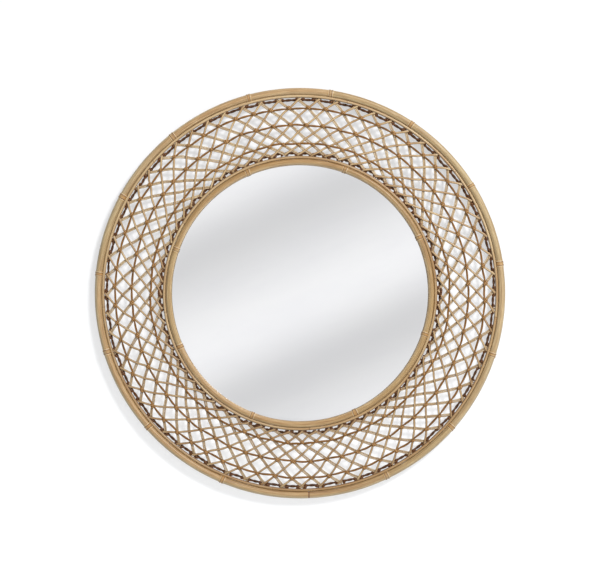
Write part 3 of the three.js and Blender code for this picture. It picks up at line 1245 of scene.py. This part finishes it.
    @staticmethod
    def wrap(name: str, length: float, width: float, depth: float, ridges: int) -> bpy.types.Mesh:
        """Makes one small bundle of wraps, ridged along its length.

        Args:
            name: the mesh's name.
            length: along the cane that it is wound on.
            width: across it.
            depth: out from the wall.
            ridges: how many wraps lie side by side.

        Returns:
            The mesh, about the origin.
        """
        sides = 8
        stations = 2 * ridges + 1
        points: list[tuple[float, float, float]] = []
        crest: list[float] = []
        for i in range(stations):
            share = i / (stations - 1)
            high = i % 2 == 1
            bulge = 0.62 + 0.38 * math.sin(math.pi * share)
            girth = bulge * (1.0 if high else 0.78)
            for j in range(sides):
                turn = FULL_TURN * j / sides
                slant = 0.12 * length * math.sin(turn)
                points.append(
                    (
                        (share - 0.5) * length + slant * 0.5,
                        -math.cos(turn) * girth * depth / 2,
                        math.sin(turn) * girth * width / 2,
                    )
                )
                crest.append(1.0 if high else 0.0)
        faces: list[tuple[int, ...]] = []
        for i in range(stations - 1):
            for j in range(sides):
                k = (j + 1) % sides
                faces.append((i * sides + j, i * sides + k, (i + 1) * sides + k, (i + 1) * sides + j))
        faces.append(tuple(reversed(range(sides))))
        faces.append(tuple((stations - 1) * sides + j for j in range(sides)))
        mesh = bpy.data.meshes.new(name)
        mesh.from_pydata(points, [], faces)
        shape = bmesh.new()
        shape.from_mesh(mesh)
        bmesh.ops.recalc_face_normals(shape, faces=shape.faces)
        shape.to_mesh(mesh)
        shape.free()
        mesh.attributes.new("ridge", "FLOAT", "POINT").data.foreach_set("value", crest)
        return mesh

    @staticmethod
    def wraps(
        name: str,
        seed: bpy.types.Mesh,
        finish: bpy.types.Material,
        first: float,
        radius: float,
        depth: float,
        slant: float,
        stray: float,
        amount: int = PLAN.steps,
    ) -> bpy.types.Object:
        """Sets one wrap at each crossing of a row.

        Args:
            name: the piece's name.
            seed: the mesh of one wrap.
            finish: its material.
            first: the angle of the first one.
            radius: of the row.
            depth: how far its middle stands out from the wall.
            slant: how it is turned from the radial direction, in radians.
            stray: how far single wraps turn from that.
            amount: how many there are, evenly round the row.

        Returns:
            The finished piece.
        """
        tree = GrowthTree(name)
        count = tree.ask("Crossings", amount, InputKind.COUNT)
        start = tree.ask("First Angle", first)
        reach = tree.ask("Ring Radius", radius)
        out = tree.ask("Depth", depth)
        lean = tree.ask("Slant", slant)
        loose = tree.ask("Stray", stray)
        points = tree.wire("GeometryNodePoints", sockets={"Count": count})
        number = tree.index()
        astray = (tree.chance(number + 0.4 + radius * 700.0) - 0.5) * loose * 0.010
        angle = start + number * (FULL_TURN / amount) + astray
        points = tree.move(points, position=tree.place_by_hand(angle, reach, out))
        turn = angle + lean + (tree.chance(number + radius * 1000.0) - 0.5) * loose
        rotation = tree.wire("FunctionNodeEulerToRotation", sockets={0: tree.vector(0.0, turn, 0.0)})
        size = 1.0 + (tree.chance(number + 0.5 + radius * 500.0) - 0.5) * (0.14 + loose * 0.4)
        placed = tree.wire(
            "GeometryNodeInstanceOnPoints",
            sockets={
                "Points": points,
                "Instance": tree.seed,
                "Rotation": rotation,
                "Scale": tree.vector(size, 1.0, size),
            },
        )
        placed = tree.keep(placed, "knot", tree.chance(number + 0.75 + radius * 300.0), domain="INSTANCE")
        return tree.grow(name, placed, finish, seed)

    def knot_rings(self) -> list[bpy.types.Object]:
        """Sets the wrapped knots over the rows of crossings that the bound rings cross.

        Returns:
            The pieces.
        """
        out = PLAN.front_depth + 0.0003
        pieces = []
        for number, knot in enumerate(self.knots, 1):
            name = f"crossing_knots_{number}"
            seed = self.wrap(f"knot_{number}", knot.size, knot.size, self.knot_depth, 3)
            first = PLAN.row_angle(knot.row)
            place = (first, knot.ring_radius, out, math.radians(knot.slant), self.knot_stray)
            pieces.append(self.wraps(name, seed, self.knot_finish, *place))
        return pieces

    def edge_lashings(self) -> list[bpy.types.Object]:
        """Sets the dark lashings along both beads, and two loose loops over the inner one.

        Returns:
            The pieces.
        """
        out = PLAN.edge_ring_depth + 0.0018
        pieces = []
        for lashing in self.lashings:
            for hand, way in (("before", Way.BACK), ("after", Way.CLOCKWISE)):
                name = f"{lashing.side}_lashings_{hand}"
                seed = self.wrap(name + "_seed", lashing.length, lashing.width, self.lashing_depth, 3)
                row_radius = PLAN.rows[lashing.row]
                first = PLAN.row_angle(lashing.row) + way.value * lashing.aside / row_radius
                slant = self.lashing_slant * way.value
                place = (first, row_radius + lashing.outward, out, slant, self.lashing_stray)
                pieces.append(self.wraps(name, seed, self.lash_finish, *place))
        seed = self.wrap("loose_loop_seed", *self.loop_size, 4)
        place = (self.loop_angle, self.loop_radius, PLAN.front_depth - 0.001, 0.1, 0.4)
        pieces.append(self.wraps("loose_loops", seed, self.lash_finish, *place, 2))
        return pieces

    def build(self) -> list[bpy.types.Object]:
        """Builds the whole lattice.

        Returns:
            Its pieces.
        """
        back = self.canes(
            "lattice_back_canes", self.back_finish, Way.CLOCKWISE, PLAN.back_depth, self.pair_width, 2
        )
        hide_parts(*[f"weave_cane_{i}" for i in range(1, 9)])
        front = self.canes(
            "lattice_front_canes", self.front_finish, Way.BACK, PLAN.front_depth, self.front_width, 1
        )
        bound_rows = [knot.row for knot in self.knots]
        rows = sorted(bound_rows + [lashing.row for lashing in self.lashings])
        rings = [self.ring(number, row, row in bound_rows) for number, row in enumerate(rows)]
        dark = rings + self.knot_rings() + self.edge_lashings()
        pieces = [back, front, *dark]
        for piece in pieces:
            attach(piece, "root")
        return pieces


# The glass, the board and its hanger


def flat_plate(
    name: str,
    outlines: Sequence[Outline],
    back: float,
    front: float,
    ease: float,
    finish: bpy.types.Material,
) -> bpy.types.Object:
    """Cuts a plate, with holes where outlines lie in others, and eases its edges.

    Args:
        name: the piece's name.
        outlines: closed outlines as x and z, the outside first.
        back: how far its back stands out from the wall.
        front: how far its front does.
        ease: the width of the bevel along every edge.
        finish: its material.

    Returns:
        The plate as a mesh at the origin.
    """
    curve = bpy.data.curves.new(name + "_outline", "CURVE")
    curve.dimensions = "2D"
    curve.fill_mode = "BOTH"
    curve.extrude = (front - back) / 2 - ease
    curve.bevel_depth = ease
    curve.bevel_resolution = 2
    curve.offset = -ease
    for outline in outlines:
        spline = curve.splines.new("POLY")
        spline.points.add(len(outline) - 1)
        spline.use_cyclic_u = True
        for point, (x, z) in zip(spline.points, outline):
            point.co = (x, z, 0.0, 1.0)
    holder = bpy.data.objects.new(name + "_holder", curve)
    bpy.context.scene.collection.objects.link(holder)
    depsgraph = bpy.context.evaluated_depsgraph_get()
    mesh = bpy.data.meshes.new_from_object(holder.evaluated_get(depsgraph))
    bpy.data.objects.remove(holder)
    middle = -(front + back) / 2
    for vertex in mesh.vertices:
        x, z, out = vertex.co
        vertex.co = (x, middle - out, z)
    shape = bmesh.new()
    shape.from_mesh(mesh)
    bmesh.ops.remove_doubles(shape, verts=shape.verts, dist=1e-6)
    bmesh.ops.recalc_face_normals(shape, faces=shape.faces)
    shape.to_mesh(mesh)
    shape.free()
    mesh.materials.clear()
    mesh.materials.append(finish)
    mesh.name = name
    piece = bpy.data.objects.new(name, mesh)
    bpy.context.scene.collection.objects.link(piece)
    return piece


def round_outline(radius: float, points: int = 192, x: float = 0.0, z: float = 0.0) -> Outline:
    """A circle's outline."""
    turns = [FULL_TURN * i / points for i in range(points)]
    return [(x + radius * math.sin(t), z + radius * math.cos(t)) for t in turns]


@dataclass
class Back:
    """The round board behind the glass, its screws and the sunk keyhole hanger."""

    board_finish: bpy.types.Material
    steel_finish: bpy.types.Material
    glass_finish: bpy.types.Material
    board_radius: float = 0.326
    glass_radius: float = 0.3166
    layer: float = 0.0018
    board_front: float = 0.0079
    rim_front: float = 0.0119
    glass_back: float = 0.0083
    glass_front: float = 0.0123
    plate_back: float = 0.0003
    plate_front: float = 0.0017
    plate_width: float = 0.020
    plate_length: float = 0.056
    plate_height: float = 0.232
    plate_corner: float = 0.003
    plate_screw_aside: float = 0.020
    bore: float = 0.005
    slot: float = 0.0025
    bore_drop: float = 0.0045
    slot_rise: float = 0.009
    screws: int = 8
    screw_ring: float = 0.3195
    screw_hole: float = 0.0037

    def plate_outline(self, spare: float) -> Outline:
        """The hanger's outline with rounded corners.

        Args:
            spare: how much larger it is all round.

        Returns:
            The outline as x and z.
        """
        half_x = self.plate_length / 2 + spare
        half_z = self.plate_width / 2 + spare
        corner = self.plate_corner + spare
        outline = []
        for quarter, (sx, sz) in enumerate(((1, 1), (1, -1), (-1, -1), (-1, 1))):
            for i in range(7):
                turn = (quarter + i / 6) * math.pi / 2
                outline.append(
                    (
                        sx * (half_x - corner) + corner * math.sin(turn),
                        self.plate_height + sz * (half_z - corner) + corner * math.cos(turn),
                    )
                )
        return outline

    def keyhole_outline(self, spare: float) -> Outline:
        """The keyhole: a round bore with a slot that rises from it.

        Args:
            spare: how much larger it is all round.

        Returns:
            The outline as x and z.
        """
        bore, slot = self.bore + spare, self.slot + spare
        centre = self.plate_height - self.bore_drop
        top = centre + self.slot_rise
        opening = math.asin(slot / bore)
        turns = [opening + (FULL_TURN - 2 * opening) * i / 28 for i in range(29)]
        outline = [(bore * math.sin(t), centre + bore * math.cos(t)) for t in turns]
        cap = [-math.pi / 2 + math.pi * i / 12 for i in range(13)]
        outline += [(slot * math.sin(t), top + slot * math.cos(t)) for t in cap]
        return outline

    def build(self) -> list[bpy.types.Object]:
        """Builds the glass, board, hanger and screws.

        Returns:
            The pieces.
        """
        board = round_outline(self.board_radius)
        disc = round_outline(self.glass_radius)
        seat = round_outline(self.glass_radius + 0.0003)
        glass = flat_plate(
            "mirror_disc", [disc], self.glass_back, self.glass_front, 0.0004, self.glass_finish
        )
        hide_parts("mirror_glass")
        around = [FULL_TURN * (i + 0.5) / self.screws for i in range(self.screws)]
        spots = [(self.screw_ring * math.sin(t), self.screw_ring * math.cos(t)) for t in around]
        holes = [round_outline(self.screw_hole, 20, x, z) for x, z in spots]
        cut = [board, self.plate_outline(0.0003), *holes]
        back = flat_plate("board_back_layer", cut, 0.0, self.layer, 0.0003, self.board_finish)
        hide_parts("backing_board")
        cut = [board, self.keyhole_outline(0.0006)]
        front = flat_plate(
            "board_front_layer", cut, self.layer, self.board_front, 0.0003, self.board_finish
        )
        lip = flat_plate(
            "board_rim", [board, seat], self.board_front, self.rim_front, 0.0004, self.board_finish
        )
        cut = [self.plate_outline(0.0), self.keyhole_outline(0.0)]
        plate = flat_plate(
            "keyhole_plate", cut, self.plate_back, self.plate_front, 0.0003, self.steel_finish
        )
        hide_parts("hanger_plate")
        pieces = [glass, back, front, lip, plate]
        beside = [(side * self.plate_screw_aside, self.plate_height) for side in (-1, 1)]
        screws = self.screw_heads(beside, "plate_screws", 0.0002)
        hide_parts("hanger_screw_left", "hanger_screw_right")
        rim = self.screw_heads(spots, "rim_screws", 0.0003)
        pieces += [screws, rim]
        for piece in pieces:
            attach(piece, "root")
        return pieces

    def screw_heads(self, spots: Sequence[tuple[float, float]], name: str, sunk: float) -> bpy.types.Object:
        """Sets a countersunk screw at each spot.

        Args:
            spots: the screws' places as x and z.
            name: the piece's name.
            sunk: how far the heads lie below the back.

        Returns:
            The screws as one piece.
        """
        tree = GrowthTree(name)
        seed = self._screw(name + "_seed")
        count = tree.ask("Screws", len(spots), InputKind.COUNT)
        points = tree.wire("GeometryNodePoints", sockets={"Count": count})
        number = tree.index()
        if len(spots) == 2:
            x = (number * 2.0 - 1.0) * tree.ask("Half Distance", abs(spots[0][0]))
            z = tree.ask("Height", spots[0][1])
        else:
            first = tree.ask("First Angle", math.atan2(*spots[0]))
            angle = number * (FULL_TURN / len(spots)) + first
            reach = tree.ask("Ring Radius", math.hypot(*spots[0]))
            x = reach * tree.math("SINE", angle)
            z = reach * tree.math("COSINE", angle)
        placed = tree.move(points, position=tree.vector(x, tree.ask("Sunk", sunk) * -1.0, z))
        turn = tree.chance(number + 0.3) * FULL_TURN
        rotation = tree.wire("FunctionNodeEulerToRotation", sockets={0: tree.vector(0.0, turn, 0.0)})
        sockets = {"Points": placed, "Instance": tree.seed, "Rotation": rotation}
        heads = tree.wire("GeometryNodeInstanceOnPoints", sockets=sockets)
        piece = tree.grow(name, heads, self.steel_finish, seed)
        piece.data.shade_flat()
        return piece

    @staticmethod
    def _screw(name: str) -> bpy.types.Mesh:
        """One countersunk screw with a cross cut into its head, its head on the wall side.

        Args:
            name: the mesh's name.

        Returns:
            The screw, its head's middle at the origin.
        """
        shape = bmesh.new()
        sides = 24
        rows = ((0.0032, 0.0), (0.0030, -0.0002), (0.0017, -0.0016), (0.0017, -0.0056), (0.0002, -0.0062))
        turns = [FULL_TURN * j / sides for j in range(sides)]
        rings = [[shape.verts.new((r * math.cos(t), y, r * math.sin(t))) for t in turns] for r, y in rows]
        for low, high in zip(rings, rings[1:]):
            for j in range(sides):
                k = (j + 1) % sides
                shape.faces.new((low[j], low[k], high[k], high[j]))
        shape.faces.new(rings[-1])
        arm, half, deep = 0.0018, 0.00036, -0.0009
        corner = ((half, half), (half, arm), (-half, arm), (-half, half), (-arm, half), (-arm, -half))
        corner += ((-half, -half), (-half, -arm), (half, -arm), (half, -half), (arm, -half), (arm, half))
        top = [shape.verts.new((x, 0.0, z)) for x, z in corner]
        floor = [shape.verts.new((x * 0.8, deep, z * 0.8)) for x, z in corner]
        edges = [shape.edges.get((rings[0][j], rings[0][(j + 1) % sides])) for j in range(sides)]
        for j in range(12):
            k = (j + 1) % 12
            edges.append(shape.edges.new((top[j], top[k])))
            shape.faces.new((top[j], top[k], floor[k], floor[j]))
        shape.faces.new(floor)
        bmesh.ops.triangle_fill(shape, use_beauty=True, use_dissolve=False, edges=edges)
        bmesh.ops.recalc_face_normals(shape, faces=shape.faces)
        mesh = bpy.data.meshes.new(name)
        shape.to_mesh(mesh)
        shape.free()
        return mesh


# The stage


@dataclass(frozen=True)
class Lamp:
    """A square soft light: where it stands, its side in metres and its power in watts."""

    name: str
    place: tuple[float, float, float]
    size: float
    power: float


@dataclass
class Studio:
    """A pale wall and floor, soft light from the upper right, and the camera."""

    ring_distance: float = 3.6525
    lens: float = 90.0
    eye_height: float = 0.0053
    floor_height: float = -1.18
    floor_reach: float = 9.0
    wall_reach: float = 6.0
    wall_gap: float = 0.001
    band_tilt: float = math.radians(25.0)
    band_count: float = 10.05
    band_start: float = -0.093
    band_bend: float = 0.33
    band_strength: float = 0.17
    sky_level: float = 0.50
    front_level: float = 0.512
    wall_colours: tuple[Colour, Colour] = ((0.362, 0.366, 0.373, 1.0), (0.372, 0.376, 0.383, 1.0))
    floor_colours: tuple[Colour, Colour] = ((0.78, 0.78, 0.77, 1.0), (0.82, 0.82, 0.81, 1.0))
    lamps: tuple[Lamp, ...] = (
        Lamp("key", (2.30, -3.5, 2.73), 1.0, 282.0),
        Lamp("rear", (-2.0, 3.5, 2.2), 2.4, 70.0),
    )

    def wall_finish(self) -> bpy.types.Material:
        """Flat white paint that shows from the front only, with a little glow that softens its shadows.

        Returns:
            The material.
        """
        sheet = FinishSheet("wall paint")
        place = sheet.place()
        colour = sheet.blend(sheet.noise(place, 90.0), *self.wall_colours)
        _, _, height = place.parts()
        # painted light: the wall glows more towards the bottom, and more still behind the lower part of the
        # frame, which lightens the shadows there
        within = sheet.step(sheet.from_centre(), 0.485, 0.455) * sheet.step(height, 0.1, -0.35)
        lift = sheet.step(height, 0.5, -0.5, 0.50, 0.585) + within * 0.055
        paint_and_glow = sheet.node(
            "ShaderNodeBsdfPrincipled",
            sockets={
                "Base Color": colour,
                "Roughness": 1.0,
                "Specular IOR Level": 0.0,
                "Emission Color": sheet.scaled((0.985, 0.99, 1.0), lift),
                "Emission Strength": 1.0,
            },
        )
        clear = sheet.node("ShaderNodeBsdfTransparent")
        behind = sheet.wire("ShaderNodeNewGeometry", out="Backfacing")
        mixed = sheet.node("ShaderNodeMixShader", sockets={0: behind, 1: paint_and_glow, 2: clear})
        sheet.node("ShaderNodeOutputMaterial", sockets={"Surface": mixed})
        return sheet.material

    def floor_finish(self) -> bpy.types.Material:
        """A plain pale floor.

        Returns:
            The material.
        """
        sheet = FinishSheet("pale floor")
        colour = sheet.blend(sheet.noise(sheet.place(), 3.0), *self.floor_colours)
        return sheet.shade(Base_Color=colour, Roughness=0.8)

    @staticmethod
    def sheet(
        name: str, corners: Sequence[Sequence[float]], finish: bpy.types.Material
    ) -> bpy.types.Object:
        """One flat sheet of the stage.

        Args:
            name: its name.
            corners: its four corners in turn.
            finish: its material.

        Returns:
            The sheet.
        """
        mesh = bpy.data.meshes.new(name)
        mesh.from_pydata(corners, [], [(0, 1, 2, 3)])
        mesh.materials.append(finish)
        piece = bpy.data.objects.new(name, mesh)
        bpy.context.scene.collection.objects.link(piece)
        return piece

    @staticmethod
    def light(lamp: Lamp) -> None:
        """Sets up one light that faces the mirror's centre.

        Args:
            lamp: its place, size and power.
        """
        light = bpy.data.lights.new(lamp.name, "AREA")
        light.size = lamp.size
        light.energy = lamp.power
        holder = bpy.data.objects.new(lamp.name, light)
        holder.location = lamp.place
        holder.rotation_euler = (-Vector(lamp.place)).to_track_quat("-Z", "Y").to_euler()
        bpy.context.scene.collection.objects.link(holder)

    def sky(self) -> None:
        """Even pale light from all round, with broad soft bands that the glass reflects."""
        world = bpy.data.worlds.new("studio")
        world.use_nodes = True
        world.node_tree.nodes.clear()
        sheet = NodeSheet(world.node_tree)
        x, y, z = sheet.wire("ShaderNodeTexCoord", out="Generated").parts()
        depth = sheet.math("MAXIMUM", sheet.math("ABSOLUTE", y), 0.2)
        slope = (x * math.sin(self.band_tilt) - z * math.cos(self.band_tilt)) / depth
        turn = (slope * self.band_count + self.band_start) * FULL_TURN
        wave = sheet.math("COSINE", turn + (1.0 - sheet.math("COSINE", turn)) * self.band_bend)
        front = sheet.step(y, -0.80, -0.97)
        level = self.sky_level + front * self.front_level + wave * front * self.band_strength
        sockets = {"Color": (0.995, 0.997, 1.0, 1.0), "Strength": level}
        background = sheet.node("ShaderNodeBackground", sockets=sockets)
        sheet.node("ShaderNodeOutputWorld", sockets={"Surface": background})
        bpy.context.scene.world = world

    def camera(self) -> None:
        """The camera, straight in front of the mirror."""
        data = bpy.data.cameras.new("camera")
        data.lens = self.lens
        data.sensor_width = 36.0
        data.clip_start = 0.05
        data.clip_end = 100.0
        holder = bpy.data.objects.new("camera", data)
        holder.location = (0.0, -PLAN.pole_depth - self.ring_distance, self.eye_height)
        holder.rotation_euler = (math.pi / 2, 0.0, 0.0)
        bpy.context.scene.collection.objects.link(holder)
        bpy.context.scene.camera = holder

    def build(self) -> None:
        """Sets up the stage, the light and the camera."""
        low, far, gap, side = self.floor_height, self.wall_reach, self.wall_gap, self.floor_reach
        upright = [(-far, gap, low), (far, gap, low), (far, gap, far), (-far, gap, far)]
        wall = self.sheet("wall", upright, self.wall_finish())
        for ray in ("shadow", "diffuse", "glossy", "transmission"):
            setattr(wall, f"visible_{ray}", False)
        level = [(-side, -side, low), (side, -side, low), (side, side, low), (-side, side, low)]
        self.sheet("floor", level, self.floor_finish())
        for lamp in self.lamps:
            self.light(lamp)
        self.sky()
        self.camera()
        bpy.context.scene.view_settings.view_transform = "Standard"


def main() -> None:
    """Builds the mirror piece by piece, then the stage."""
    logging.basicConfig(level=logging.INFO, format="%(message)s")
    outer = PoleFinish(
        name="pale lacquered rattan",
        pale=paint(170, 151, 115),
        tan=paint(152, 127, 88),
        free=paint(178, 167, 140),
        warm=paint(158, 120, 72),
    ).make()
    inner = PoleFinish(
        name="honey lacquered rattan",
        pale=paint(159, 130, 86),
        tan=paint(144, 110, 64),
        free=paint(192, 168, 130),
        warm=paint(146, 107, 54),
        facing=Facing.INWARD,
    ).make()
    bead = BeadFinish().make()
    inner_bead = BeadFinish(name="inner round cane", facing=Facing.INWARD).make()
    builders: list[tuple[str, Callable[[], Any]]] = [
        (
            "outer pole",
            Pole(
                name="outer_rattan_pole",
                ring=0.4914,
                diameter=0.0166,
                rings_at=(
                    8.75, 33.4, 57.9, 81.6, 107.75, 131.5, 154.65,
                    202.65, 228.65, 253.1, 275.5, 298.5, 320.85, 345.25,
                ),
                ring_rise=0.0016,
                ring_half=0.0080,
                sides=28,
                finish=outer,
                node="outer_pole",
                slot="rattan_pole",
                joint_at=177.5,
            ).build,
        ),
        (
            "inner pole",
            Pole(
                name="inner_rattan_pole",
                ring=0.3201,
                diameter=0.0146,
                rings_at=(20, 65, 108.25, 155.25, 201.4, 246.1, 289.5, 336.65),
                ring_rise=0.0014,
                ring_half=0.0070,
                sides=26,
                finish=inner,
                node="inner_pole",
                slot="rattan_pole",
                facing=Facing.INWARD,
            ).build,
        ),
        (
            "outer bead",
            Pole(
                name="outer_bead_cane",
                ring=0.4795,
                diameter=0.0072,
                rings_at=(14, 52, 97, 139, 188, 231, 266, 312),
                ring_rise=0.0004,
                ring_half=0.0030,
                sides=14,
                finish=bead,
                node="outer_bead",
                slot="cane_bead",
            ).build,
        ),
        (
            "inner bead",
            Pole(
                name="inner_bead_cane",
                ring=0.3310,
                diameter=0.0072,
                facing=Facing.INWARD,
                rings_at=(31, 84, 127, 176, 219, 262, 301, 352),
                ring_rise=0.0004,
                ring_half=0.0030,
                sides=14,
                finish=inner_bead,
                node="inner_bead",
                slot="cane_bead",
            ).build,
        ),
        (
            "lattice",
            Lattice(
                back_finish=CaneFinish("back cane", paint(184, 163, 129), paint(154, 128, 93)).make(),
                front_finish=CaneFinish("front cane", paint(174, 149, 110), paint(142, 111, 72)).make(),
                ring_finish=TwineFinish("brown twine", paint(76, 49, 18), paint(132, 92, 46)).make(),
                edge_finish=TwineFinish("dark twine", paint(34, 20, 7), paint(88, 53, 22)).make(),
                knot_finish=KnotFinish(
                    "wrapped crossing", paint(76, 52, 28), paint(163, 122, 74), paint(190, 156, 108)
                ).make(),
                lash_finish=KnotFinish(
                    "dark lashing", paint(40, 22, 8), paint(100, 60, 27), paint(138, 92, 48)
                ).make(),
            ).build,
        ),
        ("glass and back", Back(BoardFinish().make(), SteelFinish().make(), GlassFinish().make()).build),
    ]
    for name, build in builders:
        made = build()
        for piece in made if isinstance(made, list) else [made]:
            piece.data.calc_loop_triangles()
            LOG.info("%s: %s, %d triangles", name, piece.name, len(piece.data.loop_triangles))
    Studio().build()


if __name__ == "__main__":
    main()
